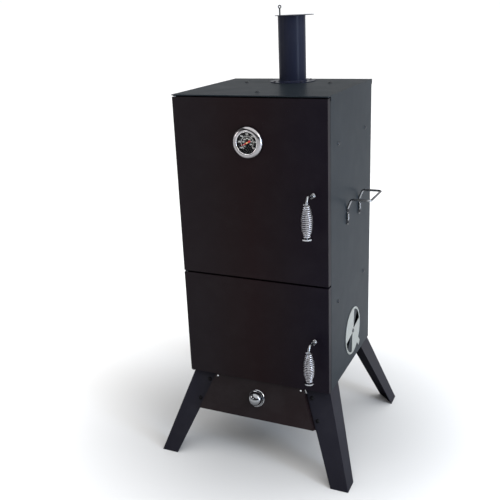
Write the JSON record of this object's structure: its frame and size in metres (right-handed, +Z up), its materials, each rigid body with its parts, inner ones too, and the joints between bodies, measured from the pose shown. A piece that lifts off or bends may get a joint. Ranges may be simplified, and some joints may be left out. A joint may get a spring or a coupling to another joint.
{
  "type": "vertical water smoker",
  "caption": "Tall black sheet-steel cabinet smoker on four flared legs, with two hinged doors, coil-grip latches, a dial thermometer, side air dampers, a chimney and a control knob.",
  "frame": {"origin": "on the ground, at the centre of the rectangle of the four feet", "axes": "+Z up, -Y towards the doors, +X to the right seen from the front"},
  "size_m": [0.552, 0.516, 1.1984],
  "materials": {
    "cabinet_enamel": "smooth dark grey-blue enamel, slightly orange-peeled",
    "door_enamel": "smooth near-black enamel, satin gloss",
    "leg_enamel": "blue-black enamel, satin",
    "flue_enamel": "blue-black enamel, satin gloss",
    "dark_bolts": "blackened bolt heads",
    "zinc": "bright zinc plate",
    "galvanised": "dull galvanised sheet",
    "rivet_steel": "dark steel",
    "chrome": "polished chrome plate",
    "porcelain": "glossy porcelain enamel with fine specks",
    "iron": "dark cast iron",
    "brass": "machined brass",
    "dial_black": "matt black dial",
    "needle_red": "red pointer paint",
    "gauge_glass": "clear flat glass"
  },
  "bodies": {
    "cabinet": {"side_panel_left": "cabinet_enamel", "side_panel_right": "cabinet_enamel", "back_panel": "cabinet_enamel", "top_cover": "cabinet_enamel", "floor_pan": "cabinet_enamel", "front_frame": "cabinet_enamel", "top_hinge_tab": "cabinet_enamel", "middle_hinge_tab": "cabinet_enamel", "bottom_hinge_tab": "cabinet_enamel", "hinge_pins": "zinc", "rack_hanger_left": "galvanised", "rack_hanger_right": "galvanised", "panel_bolts": "dark_bolts", "cooking_grate_top": "chrome", "cooking_grate_middle": "chrome", "cooking_grate_bottom": "chrome", "chip_box_rack": "chrome", "water_pan": "porcelain", "chip_box": "iron", "chip_box_lid": "iron", "burner": "iron", "burner_bracket": "zinc", "gas_valve": "brass", "control_panel": "cabinet_enamel", "knob_bezel": "chrome", "front_left_leg": "leg_enamel", "front_right_leg": "leg_enamel", "rear_left_leg": "leg_enamel", "rear_right_leg": "leg_enamel", "leg_bolts": "zinc", "chimney_tube": "flue_enamel", "chimney_flange": "flue_enamel", "flange_screws": "zinc", "lid_sleeve": "zinc", "damper_pivots": "rivet_steel", "side_handle_left": "chrome", "side_handle_right": "chrome", "side_handle_bolts": "zinc"},
    "upper_door_body": {"upper_door": "door_enamel", "thermometer_bezel": "chrome", "thermometer_dial": "dial_black", "thermometer_glass": "gauge_glass", "thermometer_stem": "zinc", "upper_latch_bush": "chrome"},
    "thermometer_pointer": {"thermometer_needle": "needle_red"},
    "lower_door_body": {"lower_door": "door_enamel", "lower_latch_bush": "chrome"},
    "upper_handle": {"upper_latch_rod": "chrome", "upper_grip": "chrome", "upper_grip_cap": "chrome"},
    "lower_handle": {"lower_latch_rod": "chrome", "lower_grip": "chrome", "lower_grip_cap": "chrome"},
    "chimney_cap": {"chimney_lid": "flue_enamel", "lid_rod": "zinc"},
    "left_damper": {"damper_wheel_left": "galvanised"},
    "right_damper": {"damper_wheel_right": "galvanised"},
    "gas_knob": {"control_knob": "chrome", "valve_stem": "brass"}
  },
  "joints": [
    {"name": "upper_door_hinge", "type": "hinge", "parent": "cabinet", "child": "upper_door_body", "pos_m": [-0.198, -0.182, 0.764], "axis": [0, 0, -1], "range_deg": [0, 112]},
    {"name": "lower_door_hinge", "type": "hinge", "parent": "cabinet", "child": "lower_door_body", "pos_m": [-0.198, -0.182, 0.383], "axis": [0, 0, -1], "range_deg": [0, 112]},
    {"name": "upper_handle_turn", "type": "hinge", "parent": "upper_door_body", "child": "upper_handle", "pos_m": [0.166, -0.19, 0.766], "axis": [0, 1, 0], "range_deg": [0, 90]},
    {"name": "lower_handle_turn", "type": "hinge", "parent": "lower_door_body", "child": "lower_handle", "pos_m": [0.166, -0.19, 0.382], "axis": [0, 1, 0], "range_deg": [0, 90]},
    {"name": "thermometer_needle_turn", "type": "hinge", "parent": "upper_door_body", "child": "thermometer_pointer", "pos_m": [0, -0.1925, 0.887], "axis": [0, 1, 0], "range_deg": [0, 244]},
    {"name": "chimney_lid_swivel", "type": "hinge", "parent": "cabinet", "child": "chimney_cap", "pos_m": [-0.02828, 0.10981, 1.15], "axis": [0, 0, 1], "range_deg": [0, 120]},
    {"name": "left_damper_turn", "type": "hinge", "parent": "cabinet", "child": "left_damper", "pos_m": [-0.204, 0.021, 0.326], "axis": [1, 0, 0], "range_deg": [-35, 45]},
    {"name": "right_damper_turn", "type": "hinge", "parent": "cabinet", "child": "right_damper", "pos_m": [0.204, 0.021, 0.326], "axis": [1, 0, 0], "range_deg": [-35, 45]},
    {"name": "gas_knob_turn", "type": "hinge", "parent": "cabinet", "child": "gas_knob", "pos_m": [0, -0.19916, 0.1892], "axis": [0, -0.9333, 0.359], "range_deg": [0, 200]}
  ]
}
